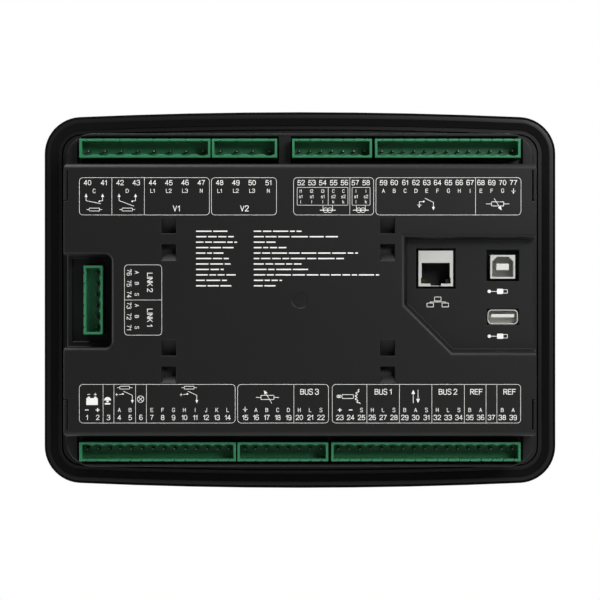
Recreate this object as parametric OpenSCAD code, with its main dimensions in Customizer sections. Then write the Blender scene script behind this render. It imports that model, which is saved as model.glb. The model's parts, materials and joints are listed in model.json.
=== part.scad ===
// Panel-mount generator-set controller, seen from its terminal side.
// X runs across the panel, Z runs up, and the terminals point to -Y.
// The panel's outer surface is the plane Y = 0 and the origin is the middle of the cut-out.

/* [Terminal headers] */
// Distance between pins on the signal headers
pitch = 5.08; // [5:0.01:5.3]
// Distance between pins on the high-voltage headers
wide_pitch = 7.62; // [7.5:0.01:7.75]
// Width of a header across its row
header_w = 8.8; // [8:0.1:10]
// Height of a header above the main board
header_h = 12; // [11:0.5:14]
// Plain wall of a header, on its outer side and ends
header_wall = 1.1; // [0.8:0.1:1.4]
// Space left for the plug above the pin tips
pin_recess = 4.4; // [4.2:0.1:6]
// Thickness of a square pin
pin_t = 1; // [0.6:0.1:1.2]

/* [Rear case] */
// Height of the raised cover between the header rows
cover_h = 125.8; // [122:0.2:140]
// Depth of the case behind the panel
case_depth = 40; // [38:0.5:48]
// Wall thickness of the case
wall = 2.5; // [1.8:0.1:3]
// Corner radius of the case seen from the back
case_r = 12; // [8:0.5:16]
// Radius along the long edges of the cover
cover_edge_r = 2.5; // [1.5:0.1:3]
// Solid end of the case beside a header row
end_wall = 5.1; // [4:0.1:7]
// Lip outside a header row
deck_lip = 1.4; // [1:0.1:2]
// Clear space round a header in its deck
deck_gap = 1.5; // [1:0.1:2.2]
// Depth of the port recess below the cover
port_recess_depth = 6; // [4.5:0.1:7]
// Sideways draw-in of the port recess from its edge to its floor
recess_draft = 3.1; // [2.6:0.1:4]

/* [Cable-tie points] */
// Width of a tie slot
tie_w = 6.7; // [5:0.1:9]
// Length of a tie point from end to end
tie_l = 20.3; // [18:0.1:24]
// Depth of a tie point at its middle
tie_depth = 4.6; // [4.4:0.1:6]
// Width of the bridge that the tie passes under
bridge_w = 5; // [4:0.1:7]
// Thickness of the bridge
bridge_t = 1.6; // [1.2:0.1:1.8]

/* [Bezel] */
// How far the bezel stands past the case at each side
bezel_reach_x = 13.9; // [12.5:0.1:18]
// How far the bezel stands past the case at top and bottom
bezel_reach_z = 12.7; // [12:0.1:18]
// Corner radius of the bezel
bezel_r = 17.8; // [15:0.1:24]
// Radius of the bow in the top and bottom edges
bow_r = 2400; // [1800:50:4000]
// Depth of the bezel in front of the panel
bezel_d = 10.2; // [9.6:0.1:13]
// Thickness of the operator fascia
fascia_t = 2.5; // [2:0.1:3]
// Radius of the bezel's front edge
front_edge_r = 4; // [2:0.5:5]
// Radius of the bezel's rear edge
rear_edge_r = 1.3; // [0.8:0.1:1.6]
// Width of the panel gasket
gasket_w = 3.4; // [2.5:0.1:4]
// Thickness of the panel gasket
gasket_t = 2.5; // [2:0.1:3]

/* [Ports] */
// Width of the network socket
network_w = 16.1; // [15:0.1:17]
// Height of the network socket
network_h = 16.6; // [15.5:0.1:17.5]
// Width of the square serial-bus socket
square_port_w = 11.5; // [11:0.1:12.5]
// Height of the square serial-bus socket
square_port_h = 11; // [10.5:0.1:12]
// Width of the flat serial-bus socket
flat_port_w = 14.1; // [13.5:0.1:14.5]
// Height of the flat serial-bus socket
flat_port_h = 6.8; // [6.4:0.1:7.2]
// Sheet thickness of the socket shells
shell_t = 0.4; // [0.3:0.05:0.6]

/* [Operator front] */
// Width of the display window
window_w = 104; // [96:1:106]
// Height of the display window
window_h = 66; // [62:1:68]
// Diameter of a mode key
mode_key_d = 15; // [13:0.5:17]
// Distance between mode keys
mode_key_step = 38; // [34:1:40]
// Travel of a key
key_travel = 1; // [0.6:0.1:1.2]
// How far a key stands out of the fascia
key_proud = 0.8; // [0.4:0.1:1.5]
// Diameter of a status light guide
guide_d = 3; // [2.5:0.1:4]

/* [Circuit boards] */
// Thickness of a circuit board
board_t = 1.6; // [1.2:0.1:2]
// Diameter of a board screw
screw_d = 3; // [2.5:0.1:3.5]

/* [Hidden] */
$fn = 48;
skin = 0.01;
cut = 1;
fit = 0.15;
run_gap = 0.3;

// Header rows
end_play = 1.5;
wide_end_play = -0.2;
header_gap = 0.7;
block_gap = 1.4;
function header_len(n) = n * pitch + end_play;
function wide_len(n) = n * wide_pitch + wide_end_play;
row_len = header_len(14) + header_gap + header_len(8) + block_gap + header_len(17);
pin_share = 0.62;
pin_z = header_w / 2 - pin_share * header_w;
header_floor_t = 2.5;
keyed_wall = 0.9;
cusp_h = 0.75;
cusp_r = (pow(pitch / 2, 2) + pow(cusp_h, 2)) / (2 * cusp_h);
notch_w = 0.9;
notch_h = 1.6;
pin_tail = 2.6;
pin_hole_gap = 0.1;
pin_hole_r = pin_t / sqrt(2) + pin_hole_gap;

// Rear case
deck_gap_in = 3.1;
cover_room = 18;
deck_sink = 3.7;
bar_gap = 0.6;
cover_corner_r = 1.8;
deck_h = deck_gap_in + header_w + deck_gap + deck_lip;
case_w = row_len + 2 * (deck_gap + end_wall);
case_h = cover_h + 2 * deck_h;
board_back = case_depth - cover_room;
board_front = board_back - board_t;
deck_in = board_back + run_gap;
deck_t = 2;
deck_out = deck_in + deck_t;
rim_back = deck_out + deck_sink;
header_face = board_back + header_h;
port_floor = case_depth - port_recess_depth;
row_z = cover_h / 2 + deck_gap_in + header_w / 2;

// Bezel
bezel_w = case_w + 2 * bezel_reach_x;
bezel_h = case_h + 2 * bezel_reach_z;
rim_set = 0.5;
shoulder_w = 1.8;
rim_w = rear_edge_r + shoulder_w;
lip_w = 1.9;
mouth = rim_w + gasket_w + lip_w;
ledge = 2.5;
flange_t = 2.5;
flange_front = 4;
flange_back = flange_front - flange_t;
fascia_back = bezel_d - fascia_t;
corner_x = bezel_w / 2 - bezel_r;
bow_z = bezel_h / 2 - bow_r;
corner_z = bow_z + sqrt(pow(bow_r - bezel_r, 2) - pow(corner_x, 2));
bow_angle = atan2(corner_z - bow_z, corner_x);
corner_steps = 12;
bow_steps = 8;
nose_x = 60;
nose_l = 10;
nose_out = 0.8;
nose_t = 1;

// Side recess, cable-tie points and clip slots, from the middle of the case
side_recess_x = 22;
side_recess_h = 42.7;
side_recess_r = 3;
side_recess_z = -0.55;
side_lip_r = 1.9;
side_row_in = 13;
side_row_x = case_w / 2 - side_row_in;
side_step = 0.6;
side_step_h = 38.9;
side_step_in = 2.4;
lip_turn = [0, 45, 90];
trough_wall = 2;
tie_x = [-60.5, 40.4];
tie_z = 28.2;
tie_r = (pow(tie_l / 2, 2) + pow(tie_depth, 2)) / (2 * tie_depth);
clip_slot_w = 0.45;
clip_slot_l = 14.3;
clip_slot_depth = 9;
clip_slot_in = 1.6;
clip_slot_drop = 10.2;
clip_slot_z = cover_h / 2 - clip_slot_drop;
dimple_r = 3.8;
dimple_depth = 0.5;
rib_x = 67.3;
rib_w = 1.2;
rib_h = 1.6;
rib_reach = 10;

// Port recess and ports
port_recess_w = 62.3;
port_x = case_w / 2 - port_recess_w;
port_top = 30.7;
port_bottom = -25.9;
port_corner = 22.9;
port_lip_r = 2.2;
floor_set = 0.8;
network_in = 16.3;
network_x = port_x + network_in;
network_z = 14.6;
network_gap = 1;
port_pair_in = 47.4;
port_pair_x = port_x + port_pair_in;
square_port_z = 15.4;
square_port_gap = 1.75;
square_port_lift = 0.6;
flat_port_z = -7.9;
flat_port_gap = 0.3;
port_face = port_floor;

// Boards and their screws
board_gap = 1;
boss_d = 7;
mat_margin = 3.5;
boss_x = 75;
boss_z = 46;
screw_head_d = 5.6;
screw_head_t = 1.6;
drive_d = 2.1;
drive_depth = 1;
screw_l = 9;
boss_gap = 3.5;
front_boss_x = 2 * mode_key_step + mode_key_d / 2 + mat_margin + boss_d / 2 + boss_gap;
front_boss_z = 60;

// Operator front
key_gap = 0.4;
key_flange = 1.2;
key_flange_t = 0.8;
key_flange_front = fascia_back - run_gap;
key_flange_back = key_flange_front - key_flange_t;
mat_front = key_flange_back - key_travel - run_gap;
mat_t = 1.2;
mat_r = 3;
mat_lap = 8;
front_board_front = mat_front - mat_t;
front_board_back = front_board_front - board_t;
front_screw_l = fascia_back - front_board_back - run_gap;
front_board_r = 3;
front_board_margin = [6, 9];
front_board_size = 2 * ([front_boss_x, front_boss_z] + front_board_margin);
window_z = 28;
window_t = 1.6;
window_set = 0.2;
window_seat = bezel_d - window_t - window_set;
window_r = 4;
window_ledge = 4;
lcd_wall = 4;
lcd_gap = 0.5;
key_r = 2;
mode_key_z = -56;
load_key_x = 22;
load_key_z = -24;
load_key_size = [16, 11];
nav_out = 28;
nav_x = -window_w / 2 - nav_out;
nav_z = 28;
nav_step = 15;
nav_size = [12, 9];
enter_d = 10;
guide_out = 12;
guide_x = window_w / 2 + guide_out;
guide_step = 14;
mode_guide_z = mode_key_z + guide_step;
led_size = 2;
led_t = 0.8;
led_gap = 0.4;
guide_flange = 1;
guide_flange_t = 0.8;

header_green = "#2f7d52";
case_black = "#2b2b2c";
board_green = "#1d5a38";
plate = "#b9bcc0";
gold = "#cfae5a";
key_grey = "#55585c";

// Plane shapes are drawn in X and Z and carried from one depth behind the panel to another
module slab(d0, d1) translate([0, -d0, 0]) rotate([90, 0, 0]) linear_extrude(d1 - d0) children();

// The same for pieces in front of the panel, from one height to another
module front(f0, f1) slab(-f1, -f0) children();

// Rectangle with round corners about a centre
module rrect(size, r, at = [0, 0]) translate(at) {
    square([size.x - 2 * r, size.y], center = true);
    square([size.x, size.y - 2 * r], center = true);
    for (x = [-1, 1], z = [-1, 1]) translate([x * (size.x / 2 - r), z * (size.y / 2 - r)]) circle(r);
}

module box2(size, at = [0, 0]) translate(at) square(size, center = true);

// Height of the bowed edge at a place along it, drawn in by a distance
function edge_z(x, inset) = bow_z + sqrt(pow(bow_r - inset, 2) - x * x);

// Upper half of the bezel's outline, drawn in by a distance: a corner, the bow, a corner
function half_outline(inset) = let (
    r = bezel_r - inset,
    corner = [for (i = [0:corner_steps]) let (a = bow_angle * i / corner_steps) r * [cos(a), sin(a)]],
    bow = [for (i = [1:bow_steps - 1]) let (a = bow_angle + (180 - 2 * bow_angle) * i / bow_steps)
        [(bow_r - inset) * cos(a), bow_z + (bow_r - inset) * sin(a)]]
) concat(
    [for (p = corner) [corner_x + p.x, corner_z + p.y]],
    bow,
    [for (i = [corner_steps:-1:0]) [-corner_x - corner[i].x, corner_z + corner[i].y]]
);

// Whole outline of the bezel, drawn in by a distance: the half and the same half turned round
module bowed(inset = 0) polygon(concat(half_outline(inset), -half_outline(inset)));

module bowed_ring(outer, inner) difference() {
    bowed(outer);
    bowed(inner);
}

// Places of the headers: the middle of each one along its row
top_8_x = -row_len / 2 + wide_len(8) / 2;
top_4_x = -row_len / 2 + wide_len(8) + header_gap + wide_len(4) / 2;
top_13_x = row_len / 2 - header_len(13) / 2;
top_7_x = row_len / 2 - header_len(13) - block_gap - header_len(7) / 2;
bottom_14_x = -row_len / 2 + header_len(14) / 2;
bottom_8_x = -row_len / 2 + header_len(14) + header_gap + header_len(8) / 2;
bottom_17_x = row_len / 2 - header_len(17) / 2;

// Each place turns a header so that its plain wall faces the outside of the case
module on_top(x) translate([x, 0, row_z]) children();
module on_bottom(x) translate([x, 0, -row_z]) mirror([0, 0, 1]) children();
module at_side() translate([-side_row_x, 0, 0]) rotate([0, -90, 0]) children();

// Runs its children at every header, with the header's way count and pitch in $ways and $step
module each_header() {
    on_top(top_8_x) let ($ways = 8, $step = wide_pitch, $len = wide_len(8)) children();
    on_top(top_4_x) let ($ways = 4, $step = wide_pitch, $len = wide_len(4)) children();
    on_top(top_7_x) let ($ways = 7, $step = pitch, $len = header_len(7)) children();
    on_top(top_13_x) let ($ways = 13, $step = pitch, $len = header_len(13)) children();
    on_bottom(bottom_14_x) let ($ways = 14, $step = pitch, $len = header_len(14)) children();
    on_bottom(bottom_8_x) let ($ways = 8, $step = pitch, $len = header_len(8)) children();
    on_bottom(bottom_17_x) let ($ways = 17, $step = pitch, $len = header_len(17)) children();
    at_side() let ($ways = 6, $step = pitch, $len = header_len(6)) children();
}

function way_x(i, ways, step) = (i - (ways - 1) / 2) * step;

// Open box with keying ribs between the pins on one wall and a notch above each pin in the other
module header(ways, step, len) color(header_green) difference() {
    slab(board_back, header_face) box2([len, header_w]);
    slab(board_back + header_floor_t, header_face + cut) {
        box2([len - 2 * header_wall, header_w - header_wall - keyed_wall - cusp_h],
            [0, (keyed_wall + cusp_h - header_wall) / 2]);
        intersection() {
            box2([len - 2 * header_wall, header_w - header_wall - keyed_wall],
                [0, (keyed_wall - header_wall) / 2]);
            for (i = [0:ways - 1])
                translate([way_x(i, ways, step), keyed_wall + cusp_r - header_w / 2]) circle(cusp_r);
        }
    }
    slab(board_back - cut, board_back + header_floor_t + cut) for (i = [0:ways - 1])
        box2([pin_t + 2 * fit, pin_t + 2 * fit], [way_x(i, ways, step), pin_z]);
    slab(header_face - notch_h, header_face + cut) for (i = [0:ways - 1])
        box2([notch_w, 2 * header_wall + skin], [way_x(i, ways, step), header_w / 2]);
}

module pins(ways, step) color(plate) for (i = [0:ways - 1])
    slab(board_front - pin_tail, header_face - pin_recess)
        box2([pin_t, pin_t], [way_x(i, ways, step), pin_z]);

module top_header_8() on_top(top_8_x) header(8, wide_pitch, wide_len(8));
module top_header_4() on_top(top_4_x) header(4, wide_pitch, wide_len(4));
module top_header_7() on_top(top_7_x) header(7, pitch, header_len(7));
module top_header_13() on_top(top_13_x) header(13, pitch, header_len(13));
module bottom_header_14() on_bottom(bottom_14_x) header(14, pitch, header_len(14));
module bottom_header_8() on_bottom(bottom_8_x) header(8, pitch, header_len(8));
module bottom_header_17() on_bottom(bottom_17_x) header(17, pitch, header_len(17));
module side_header_6() at_side() header(6, pitch, header_len(6));

module top_pins_8() on_top(top_8_x) pins(8, wide_pitch);
module top_pins_4() on_top(top_4_x) pins(4, wide_pitch);
module top_pins_7() on_top(top_7_x) pins(7, pitch);
module top_pins_13() on_top(top_13_x) pins(13, pitch);
module bottom_pins_14() on_bottom(bottom_14_x) pins(14, pitch);
module bottom_pins_8() on_bottom(bottom_8_x) pins(8, pitch);
module bottom_pins_17() on_bottom(bottom_17_x) pins(17, pitch);
module side_pins_6() at_side() pins(6, pitch);

// Outline of the port recess grown by a distance: open to the case's right side, one corner cut off
function port_outline(grow) = let (k = grow * (sqrt(2) - 1), side = case_w / 2 + cut) [
    [port_x - grow, port_top + grow],
    [side, port_top + grow],
    [side, port_bottom - grow],
    [port_x + port_corner - k, port_bottom - grow],
    [port_x - grow, port_bottom + port_corner - k]
];

// Round-bottomed trough of a cable-tie point, grown by a distance
module tie_trough(x, z, grow = 0) translate([x, tie_depth - tie_r - case_depth, z])
    rotate([0, 90, 0]) cylinder(r = tie_r + grow, h = tie_w + 2 * grow, center = true);

// Trough less the bridge that stays across its middle
module tie_cut(x, z) difference() {
    tie_trough(x, z);
    translate([x, 0, z]) slab(case_depth - bridge_t, case_depth) box2([tie_w + cut, bridge_w]);
}

// Plane shape of the side recess grown by a distance, open to the case's left side
module side_outline(grow = 0)
    rrect([2 * side_recess_x + 2 * grow, side_recess_h + 2 * grow], side_recess_r + grow,
        [-case_w / 2, side_recess_z]);

module at_bosses(x, z) for (sx = [-1, 1], sz = [-1, 1]) translate([sx * x, 0, sz * z]) children();

// Base that passes through the panel, raised cover, and the flange that lies inside the bezel
module case_outside() {
    slab(-flange_front, rim_back) rrect([case_w, case_h], case_r);
    intersection() {
        slab(case_depth / 2, case_depth) rrect([case_w, cover_h], cover_corner_r);
        translate([-case_w / 2, 0, 0]) rotate([90, 0, 90]) linear_extrude(case_w)
            rrect([2 * case_depth, cover_h], cover_edge_r);
    }
    front(flange_back, flange_front) bowed(mouth + run_gap);
    for (x = [-1, 1], side = [-1, 1]) {
        translate([x * nose_x, 0, 0]) front(flange_back, flange_back + nose_t)
            box2([nose_l, 2 * nose_out], [0, side * edge_z(nose_x + nose_l / 2, mouth + run_gap)]);
        slab(-flange_back - skin, rib_reach) box2([rib_w, 2 * rib_h], [x * rib_x, side * case_h / 2]);
    }
}

// Hollow of the case: what is left inside the walls of the recesses, troughs and screw bosses
module case_inside() difference() {
    union() {
        slab(-flange_front - cut, deck_in) rrect([case_w - 2 * wall, case_h - 2 * wall], case_r - wall);
        slab(deck_in - skin, case_depth - wall) box2([case_w - 2 * wall, cover_h - 2 * wall]);
    }
    slab(deck_in, case_depth) side_outline(wall);
    slab(port_floor - wall, case_depth) polygon(port_outline(wall));
    for (x = tie_x, side = [-1, 1]) tie_trough(x, side * tie_z, trough_wall);
    at_bosses(boss_x, boss_z) slab(board_back, case_depth) circle(boss_d / 2);
}

// Sunk decks round the header rows, with the bar that stays between two headers of the top row
module header_decks() {
    deck_size = [row_len + 2 * deck_gap, deck_gap_in + header_w + deck_gap];
    for (side = [-1, 1]) slab(deck_out, rim_back + cut) difference() {
        box2(deck_size, [0, side * (cover_h / 2 + deck_size.y / 2)]);
        bar_0 = top_4_x + wide_len(4) / 2 + bar_gap;
        bar_1 = top_7_x - header_len(7) / 2 - bar_gap;
        if (side > 0) box2([bar_1 - bar_0, deck_size.y + cut], [(bar_0 + bar_1) / 2, row_z]);
    }
    each_header() slab(deck_in - cut, deck_out + cut) box2([$len + 2 * fit, header_w + 2 * fit]);
}

// Round edge of a recess in the cover, carried down through the plane shape at each draw-in, $inset
module round_lip(r) for (i = [1:len(lip_turn) - 1]) hull() for (a = [lip_turn[i - 1], lip_turn[i]]) {
    depth = case_depth - r * (1 - cos(a));
    slab(depth, depth + skin) let ($inset = r * sin(a)) children();
}

module side_recess() {
    slab(deck_out, case_depth + cut) side_outline();
    round_lip(side_lip_r) side_outline(side_lip_r - $inset);
    slab(deck_out - side_step, deck_out + skin) box2([side_recess_x - side_step_in, side_step_h],
        [(side_recess_x + side_step_in - case_w) / 2, 0]);
}

// Recess with a round lip, drafted walls, a relief at the case's side and a cut-out for each port
module port_recess() {
    lip = case_depth - port_lip_r;
    round_lip(port_lip_r) polygon(port_outline(-$inset));
    hull() {
        slab(port_floor, port_floor + skin) polygon(port_outline(-recess_draft));
        slab(lip, lip + skin) polygon(port_outline(-port_lip_r));
    }
    slab(rim_back, port_floor + skin) box2([2 * floor_set, port_top - port_bottom - 2 * recess_draft],
        [case_w / 2, (port_top + port_bottom) / 2]);
    slab(port_floor - wall - cut, port_floor + cut) {
        network_outline(network_gap);
        box2([square_port_w, square_port_h] + 2 * square_port_gap * [1, 1],
            [port_pair_x, square_port_z + square_port_lift]);
        box2([flat_port_w, flat_port_h] + 2 * flat_port_gap * [1, 1], [port_pair_x, flat_port_z]);
    }
}

// Slits that free a tongue of the side wall for each fixing clip
module clip_slots() for (sx = [-1, 1], sz = [-1, 1]) translate([sx * case_w / 2, 0, sz * clip_slot_z])
    slab(case_depth - clip_slot_depth, case_depth + cut) {
        box2([clip_slot_w, clip_slot_l], [-sx * clip_slot_in, 0]);
        box2([2 * clip_slot_in, clip_slot_w], [0, sz * (clip_slot_w - clip_slot_l) / 2]);
    }

// Moulded rear case in one piece
module rear_case() color(case_black) difference() {
    case_outside();
    case_inside();
    header_decks();
    side_recess();
    port_recess();
    for (x = tie_x, side = [-1, 1]) tie_cut(x, side * tie_z);
    clip_slots();
    slab(case_depth - dimple_depth, case_depth + cut) circle(dimple_r);
    at_bosses(boss_x, boss_z) slab(board_back - cut, board_front + screw_l + fit) circle(screw_d / 2 + fit);
}

// Depth and draw-in of the bezel's skin, round its rear edge and then round its front edge
edge_turn = [0, 30, 60, 90];
bezel_skin = concat(
    [for (a = edge_turn) [rim_set + rear_edge_r * (1 - cos(a)), rear_edge_r * (1 - sin(a))]],
    [for (a = edge_turn) [bezel_d - front_edge_r * (1 - cos(a)), front_edge_r * (1 - sin(a))]]
);

module bezel_body() hull() for (level = bezel_skin) {
    middle = (rim_set + bezel_d) / 2;
    front(min(level[0], middle), max(level[0], middle)) bowed(level[1]);
}

// Places of the operator keys, seen from the terminal side
function mode_place(i) = [(2 - i) * mode_key_step, mode_key_z];
function load_place(side) = [side * load_key_x, load_key_z];
function nav_place(dx, dz) = [nav_x + dx * nav_step, nav_z + dz * nav_step];
guide_places = concat(
    [for (i = [0:3]) [guide_x, window_z + (1.5 - i) * guide_step]],
    [for (i = [0:4]) [mode_place(i).x, mode_guide_z]]
);

// Plane shapes of all keys, grown by a distance
module key_shapes(grow) {
    for (i = [0:4]) translate(mode_place(i)) circle(mode_key_d / 2 + grow);
    for (side = [-1, 1]) rrect(load_key_size + 2 * [grow, grow], key_r + grow, load_place(side));
    for (s = [-1, 1]) {
        rrect(nav_size + 2 * [grow, grow], key_r + grow, nav_place(0, s));
        rrect([nav_size.y, nav_size.x] + 2 * [grow, grow], key_r + grow, nav_place(s, 0));
    }
    translate(nav_place(0, 0)) circle(enter_d / 2 + grow);
}

// Slots in the bezel that the case's snap noses spring into
module nose_slots() for (x = [-1, 1], side = [-1, 1]) translate([x * nose_x, 0, 0])
    front(flange_back - fit, flange_back + nose_t + fit)
        box2([nose_l + 2 * fit, 2 * nose_out + 2 * fit],
            [0, side * edge_z(nose_x + nose_l / 2, mouth + run_gap)]);

// Bowed frame with the gasket channel, the mouth that the case snaps into and a ledge for the fascia
module front_bezel() color(case_black) difference() {
    bezel_body();
    front(rim_set - cut, flange_front) bowed(mouth);
    front(flange_front - skin, fascia_back + skin) bowed(mouth + ledge);
    front(fascia_back, bezel_d + cut) bowed(mouth);
    front(rim_set - cut, gasket_t) bowed_ring(rim_w, rim_w + gasket_w);
    nose_slots();
}

// Operator fascia on the bezel's ledge, with its window seat, key holes and screw bosses
module front_fascia() color(case_black) {
    difference() {
        front(fascia_back, bezel_d) bowed(mouth + fit);
        front(window_seat, bezel_d + cut)
            rrect([window_w + 2 * fit, window_h + 2 * fit], window_r + fit, [0, window_z]);
        front(fascia_back - cut, bezel_d)
            rrect([window_w - 2 * window_ledge, window_h - 2 * window_ledge], window_r / 2, [0, window_z]);
        front(fascia_back - cut, bezel_d + cut) {
            key_shapes(key_gap);
            for (p = guide_places) translate(p) circle(guide_d / 2 + fit);
        }
    }
    at_bosses(front_boss_x, front_boss_z) front(front_board_front, fascia_back + skin) difference() {
        circle(boss_d / 2);
        circle(screw_d / 2 + fit);
    }
}

module panel_gasket() color("#1b1b1c") front(0, gasket_t) bowed_ring(rim_w, rim_w + gasket_w);

// Boards
module main_board() color(board_green) difference() {
    inset = wall + board_gap;
    slab(board_front, board_back) rrect([case_w - 2 * inset, case_h - 2 * inset], case_r - inset);
    at_bosses(boss_x, boss_z) slab(board_front - cut, board_back + cut) circle(screw_d / 2 + fit);
    each_header() slab(board_front - cut, board_back + cut) for (i = [0:$ways - 1])
        translate([way_x(i, $ways, $step), pin_z]) circle(pin_hole_r);
}

module front_board() color(board_green) difference() {
    front(front_board_back, front_board_front) rrect(front_board_size, front_board_r);
    at_bosses(front_boss_x, front_boss_z) front(front_board_back - cut, front_board_front + cut)
        circle(screw_d / 2 + fit);
}

// Pan-head screw along Y with its head's seat at the origin and its shank towards -Y
module screw(length) rotate([90, 0, 0]) difference() {
    union() {
        cylinder(d = screw_d, h = length);
        translate([0, 0, -screw_head_t]) cylinder(d = screw_head_d, h = screw_head_t);
    }
    translate([0, 0, -screw_head_t - skin]) cylinder(d = drive_d, h = drive_depth, $fn = 6);
}

module main_screws() color(plate) at_bosses(boss_x, boss_z) translate([0, -board_front, 0]) screw(screw_l);

module front_screws() color(plate) at_bosses(front_boss_x, front_boss_z)
    translate([0, front_board_back, 0]) mirror([0, 1, 0]) screw(front_screw_l);

link_drop = 8.4;
link_at = [0, row_z - link_drop];
link_size = [42, 6];
link_split = 8;
link_r = 0.8;
link_wall = 1.5;
link_play = 0.3;
link_floor = 3;
link_plug = 4;
link_way = [1, 1.4];
link_step = 2;
module link_socket() color("#202022") difference() {
    slab(link_split, board_front) rrect(link_size, link_r, link_at);
    slab(link_split - cut, board_front - link_floor) box2(link_size - 2 * [link_wall, link_wall], link_at);
}
module link_header() color("#303034") difference() {
    union() {
        slab(-front_board_back, link_split) rrect(link_size, link_r, link_at);
        slab(link_split - skin, link_split + link_plug)
            box2(link_size - 2 * (link_wall + link_play) * [1, 1], link_at);
    }
    for (i = [-9:9]) slab(link_split + link_plug / 2, link_split + link_plug + cut)
        box2(link_way, link_at + [i * link_step, 0]);
}

// Network socket: mouth with a latch notch below, in a folded metal shell
network_mouth = [13, 9.6];
network_mouth_z = -2.2;
network_notch = [4.9, 1.5];
network_foot = [13.8, 2.6];
network_cavity = 10;
network_back = port_face - shell_t;
module network_mouth_shape() {
    low = network_z + network_mouth_z - network_mouth.y / 2;
    box2(network_mouth, [network_x, network_z + network_mouth_z]);
    box2([network_notch.x, 2 * network_notch.y], [network_x, low]);
    box2(network_foot, [network_x, low + network_foot.y / 2]);
}
module network_outline(grow) box2([network_w + 2 * grow, network_h + 2 * grow], [network_x, network_z]);
module network_shell() color(plate) difference() {
    slab(board_back, port_face) network_outline(0);
    slab(board_back - cut, network_back) network_outline(-shell_t);
    slab(network_back - cut, port_face + cut) network_mouth_shape();
}
module network_insert() color("#1a1a1b") difference() {
    slab(board_back, network_back) network_outline(-shell_t);
    slab(network_back - network_cavity, network_back + cut) network_mouth_shape();
}
network_contact_step = 1.02;
network_contact_t = 0.5;
network_contact_l = 7;
module network_contacts() color(gold) for (i = [0:7])
    slab(network_back - network_cavity, network_back - network_cavity + network_contact_l)
        box2([network_contact_t, network_contact_t], [network_x + way_x(i, 8, network_contact_step),
            network_z + network_mouth_z + (network_mouth.y - network_contact_t) / 2]);
network_lens = [2.2, 2];
network_lens_l = 8.6;
module network_lenses() color("#d8b23c") for (side = [-1, 1])
    slab(network_back - network_cavity, network_back - network_cavity + network_lens_l)
        box2(network_lens, [network_x + side * (network_foot.x - network_lens.x) / 2,
            network_z + network_mouth_z - (network_mouth.y - network_lens.y) / 2]);

// Square socket: thick shell whose hollow has two cut corners, and an insert with a thick tongue
square_port_corner = 2.2;
square_port_wall = 0.85;
module square_port_hollow() {
    w = square_port_w / 2 - square_port_wall;
    h = square_port_h / 2 - square_port_wall;
    c = square_port_corner;
    translate([port_pair_x, square_port_z])
        polygon([[-w, -h], [w, -h], [w, h - c], [w - c, h], [c - w, h], [-w, h - c]]);
}
module square_port_shell() color(plate) slab(board_back, port_face) difference() {
    box2([square_port_w, square_port_h], [port_pair_x, square_port_z]);
    square_port_hollow();
}
square_port_bar = [5.8, 3];
square_port_floor = 3;
tongue_recess = 0.6;
module square_port_tongue() color("#d9d9d6") {
    slab(board_back, board_back + square_port_floor) square_port_hollow();
    slab(board_back + square_port_floor - skin, port_face - tongue_recess)
        box2(square_port_bar, [port_pair_x, square_port_z]);
}

// Flat socket: shell and an insert with a thin tongue in its upper half
flat_port_bar = [10.7, 1.5];
flat_port_bar_z = 0.6;
flat_port_floor = 6.5;
flat_port_r = 2;
module flat_port_shape(grow)
    rrect([flat_port_w + 2 * grow, flat_port_h + 2 * grow], flat_port_r + grow, [port_pair_x, flat_port_z]);
module flat_port_shell() color(plate) slab(board_back, port_face) difference() {
    flat_port_shape(0);
    flat_port_shape(-shell_t);
}
module flat_port_tongue() color("#e4e4e0") {
    slab(board_back, board_back + flat_port_floor) flat_port_shape(-shell_t);
    slab(board_back + flat_port_floor - skin, port_face - tongue_recess)
        box2(flat_port_bar, [port_pair_x, flat_port_z + flat_port_bar_z]);
}

// Parts on the main board
chip_at = [-20, 10];
chip_w = 20;
chip_t = 1.6;
chip_r = 0.6;
leg = [0.5, 1.2, 0.4];
leg_step = 1.2;
module processor() color("#1f2022") {
    slab(board_front - chip_t, board_front - leg.z / 2) rrect([chip_w, chip_w], chip_r, chip_at);
    for (turn = [0:90:270], i = [-7:7]) translate([chip_at.x, 0, chip_at.y]) rotate([0, turn, 0])
        slab(board_front - leg.z, board_front) box2([leg.x, 2 * leg.y], [i * leg_step, chip_w / 2]);
}
relay_size = [10.5, 20];
relay_t = 14;
relay_r = 0.8;
relay_at = [-44, 40];
relay_step = 12;
module relays() color("#2d2f38") for (i = [0:3])
    slab(board_back, board_back + relay_t) rrect(relay_size, relay_r, relay_at + [relay_step * i, 0]);
ring_r = 8;
ring_hole = 3.4;
ring_t = 9;
ring_edge_r = 1.5;
ring_places = [[7, 46], [25, 46], [16, 29]];
module current_transformers() color("#3a2f2a") for (at = ring_places)
    translate([at.x, -board_back, at.y]) rotate([90, 0, 0]) rotate_extrude()
        rrect([ring_r - ring_hole, ring_t], ring_edge_r, [(ring_r + ring_hole) / 2, ring_t / 2]);
can_r = 5;
can_h = 13.5;
can_edge_r = 0.8;
can_in = 12.9;
can_z = can_in - cover_h / 2;
can_step = 12;
can_x = -98;
can_places = [[can_x, can_z], [can_x + can_step, can_z], [can_x, can_z + can_step]];
module capacitors() color("#2a2c33") for (at = can_places)
    translate([at.x, -board_back, at.y]) rotate([90, 0, 0]) rotate_extrude() {
        square([can_r, can_h - can_edge_r]);
        square([can_r - can_edge_r, can_h]);
        translate([can_r - can_edge_r, can_h - can_edge_r]) circle(can_edge_r);
    }
coil_at = [-30, -46];
coil_r = 7;
coil_h = 8;
groove_r = 2.4;
module inductor() color("#34343a") translate([coil_at.x, -board_back, coil_at.y]) rotate([90, 0, 0])
    rotate_extrude() difference() {
        square([coil_r, coil_h]);
        translate([coil_r, coil_h / 2]) circle(groove_r);
    }
cell_at = [-45, -30];
cell_r = 10;
cell_t = 3.2;
holder_wall = 1.5;
holder_floor = 1;
holder_t = holder_floor + cell_t;
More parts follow.
